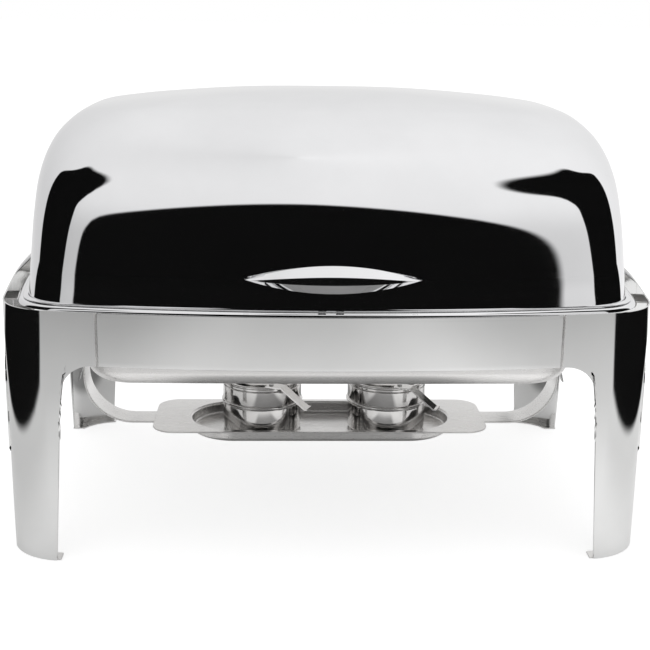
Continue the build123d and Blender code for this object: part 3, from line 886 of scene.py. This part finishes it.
def make_floor():
    """A plain pale floor, evenly bright to the camera, with painted light and painted shade on the table near
    the object and the dark studio beyond it in reflections.
    """
    floor = mesh_object(
        "studio_floor",
        [
            (-FLOOR_REACH, -FLOOR_REACH, -FLOOR_DROP),
            (FLOOR_REACH, -FLOOR_REACH, -FLOOR_DROP),
            (FLOOR_REACH, FLOOR_REACH, -FLOOR_DROP),
            (-FLOOR_REACH, FLOOR_REACH, -FLOOR_DROP),
        ],
        [(0, 1, 2, 3)],
    )
    g = Graph("pale_floor")
    g.tree.nodes.remove(g.shader)
    spot = g.add("ShaderNodeTexCoord").outputs["Object"]
    x, y, _ = g.split(spot)
    ahead = g.calc("MULTIPLY", y, -1.0)
    from_x = g.calc("SUBTRACT", x, g.calc("MINIMUM", g.calc("MAXIMUM", x, -BODY_X), BODY_X))
    from_y = g.calc("SUBTRACT", ahead, g.calc("MINIMUM", g.calc("MAXIMUM", ahead, -BODY_Y), BODY_Y))
    studio = studio_brightness(g, degrees(g, g.calc("ARCTAN2", from_x, from_y)), g.constant(0.0))
    away = g.calc("SQRT", g.calc("ADD", g.calc("MULTIPLY", x, x), g.calc("MULTIPLY", y, y)))
    ground = g.calc(
        "MULTIPLY",
        g.fade(away, STUDIO_NEAR - 0.05, STUDIO_NEAR + 0.05, 1.0, 0.0),
        g.fade(y, TABLE_REAR - 0.05, TABLE_REAR + 0.05, 1.0, 0.0),
    )
    beyond = g.mix(ground, studio, g.constant(DARK))
    flare = g.calc("MULTIPLY", g.calc("MAXIMUM", g.calc("SUBTRACT", ahead, 0.65), 0.0), TABLE_FLARE)
    side = g.calc("SUBTRACT", g.calc("ABSOLUTE", x), flare)
    on_table = g.calc(
        "MULTIPLY",
        g.fade(side, TABLE_SIDE - 0.03, TABLE_SIDE + 0.03, 1.0, 0.0),
        g.fade(ahead, TABLE_FRONT - 0.05, TABLE_FRONT + 0.05, 1.0, 0.0),
    )
    # Painted light: in reflections the table is painted brighter near the object and to the right, and darker
    # further ahead and out to the sides.
    near = g.fade(ahead, 0.45, 1.35, 0.92, 0.58)
    painted_falloff_sides = g.fade(g.calc("ABSOLUTE", x), 0.25, 0.60, 1.0, 0.70)
    # Painted shadow: in reflections the floor under the object is painted darker.
    under = g.calc(
        "MULTIPLY",
        g.fade(g.calc("ABSOLUTE", x), BODY_X - 0.10, BODY_X - 0.04, 1.0, 0.0),
        g.fade(g.calc("ABSOLUTE", y), BODY_Y + 0.13, BODY_Y + 0.43, 1.0, 0.0),
    )
    painted_light_rightward = g.fade(x, 0.0, 0.5, 0.92, 1.12)
    painted_light_table = g.calc("MULTIPLY", g.calc("MULTIPLY", near, painted_falloff_sides), painted_light_rightward)
    table = g.mix(under, painted_light_table, g.constant(PAINTED_SHADE_UNDER_BODY))
    shown = g.mix(on_table, beyond, table)
    reflected = g.add("ShaderNodeBsdfDiffuse")
    g.tree.links.new(shown, reflected.inputs["Color"])
    glow = g.add("ShaderNodeEmission", Strength=0.72)
    pale = g.add("ShaderNodeBsdfDiffuse", Color=(0.40, 0.40, 0.40, 1.0))
    seen = g.add("ShaderNodeAddShader")
    g.tree.links.new(glow.outputs[0], seen.inputs[0])
    g.tree.links.new(pale.outputs[0], seen.inputs[1])
    pick = g.add("ShaderNodeMixShader")
    g.tree.links.new(g.add("ShaderNodeLightPath").outputs["Is Glossy Ray"], pick.inputs["Fac"])
    g.tree.links.new(seen.outputs[0], pick.inputs[1])
    g.tree.links.new(reflected.outputs[0], pick.inputs[2])
    g.tree.links.new(pick.outputs[0], g.output.inputs["Surface"])
    floor.data.materials.append(g.material)


def make_world():
    """White all round for soft light, with the studio's dark screens showing only in reflections."""
    world = bpy.data.worlds.new("studio_light")
    world.use_nodes = True
    bpy.context.scene.world = world
    g = Graph.__new__(Graph)
    g.tree = world.node_tree
    g.tree.nodes.clear()
    x, y, z = g.split(g.add("ShaderNodeTexCoord").outputs["Generated"])
    azimuth = degrees(g, g.calc("ARCTAN2", x, g.calc("MULTIPLY", y, -1.0)))
    elevation = degrees(g, g.calc("ARCSINE", z))
    studio = studio_brightness(g, azimuth, elevation)
    glossy = g.add("ShaderNodeLightPath").outputs["Is Glossy Ray"]
    background = g.add("ShaderNodeBackground", Color=(1.0, 1.0, 1.0, 1.0))
    g.tree.links.new(g.mix(glossy, g.constant(1.0), studio), background.inputs["Strength"])
    output = g.add("ShaderNodeOutputWorld")
    g.tree.links.new(background.outputs[0], output.inputs["Surface"])


def make_softbox():
    """A broad soft light overhead."""
    data = bpy.data.lights.new("softbox", "AREA")
    data.shape = "RECTANGLE"
    data.size = 2.4
    data.size_y = 1.8
    data.energy = 12.0
    softbox = bpy.data.objects.new("softbox", data)
    softbox.location = (0.0, -0.3, 2.2)
    softbox.visible_glossy = False
    bpy.context.scene.collection.objects.link(softbox)


# ---------------------------------------------------------------- build

make_camera()
for cad_node in frame["nodes"]:
    dress_cad_node(cad_node)
make_lid()
make_lid_edge()
make_rim()
make_water_pan()
for end, sy in ENDS:
    for side, sx in SIDES:
        make_leg("leg_sheet_%s_%s" % (end, side), "leg_%s_%s" % (end, side), sx, sy)
for end, sy in ENDS:
    make_band("apron_sheet_" + end, "apron_" + end, 0, APRON_X, 0, sy, lambda y: SKIRT_HIGH)
for side, sx in SIDES:
    make_band("side_sheet_" + side, "side_panel_" + side, 1, SEAM_Y, sx, 0, crest_height)
make_handle()
make_arms()
make_tray()
for side, sx in SIDES:
    make_cup(side)
make_floor()
make_world()
make_softbox()
bpy.context.scene.view_settings.view_transform = "Standard"
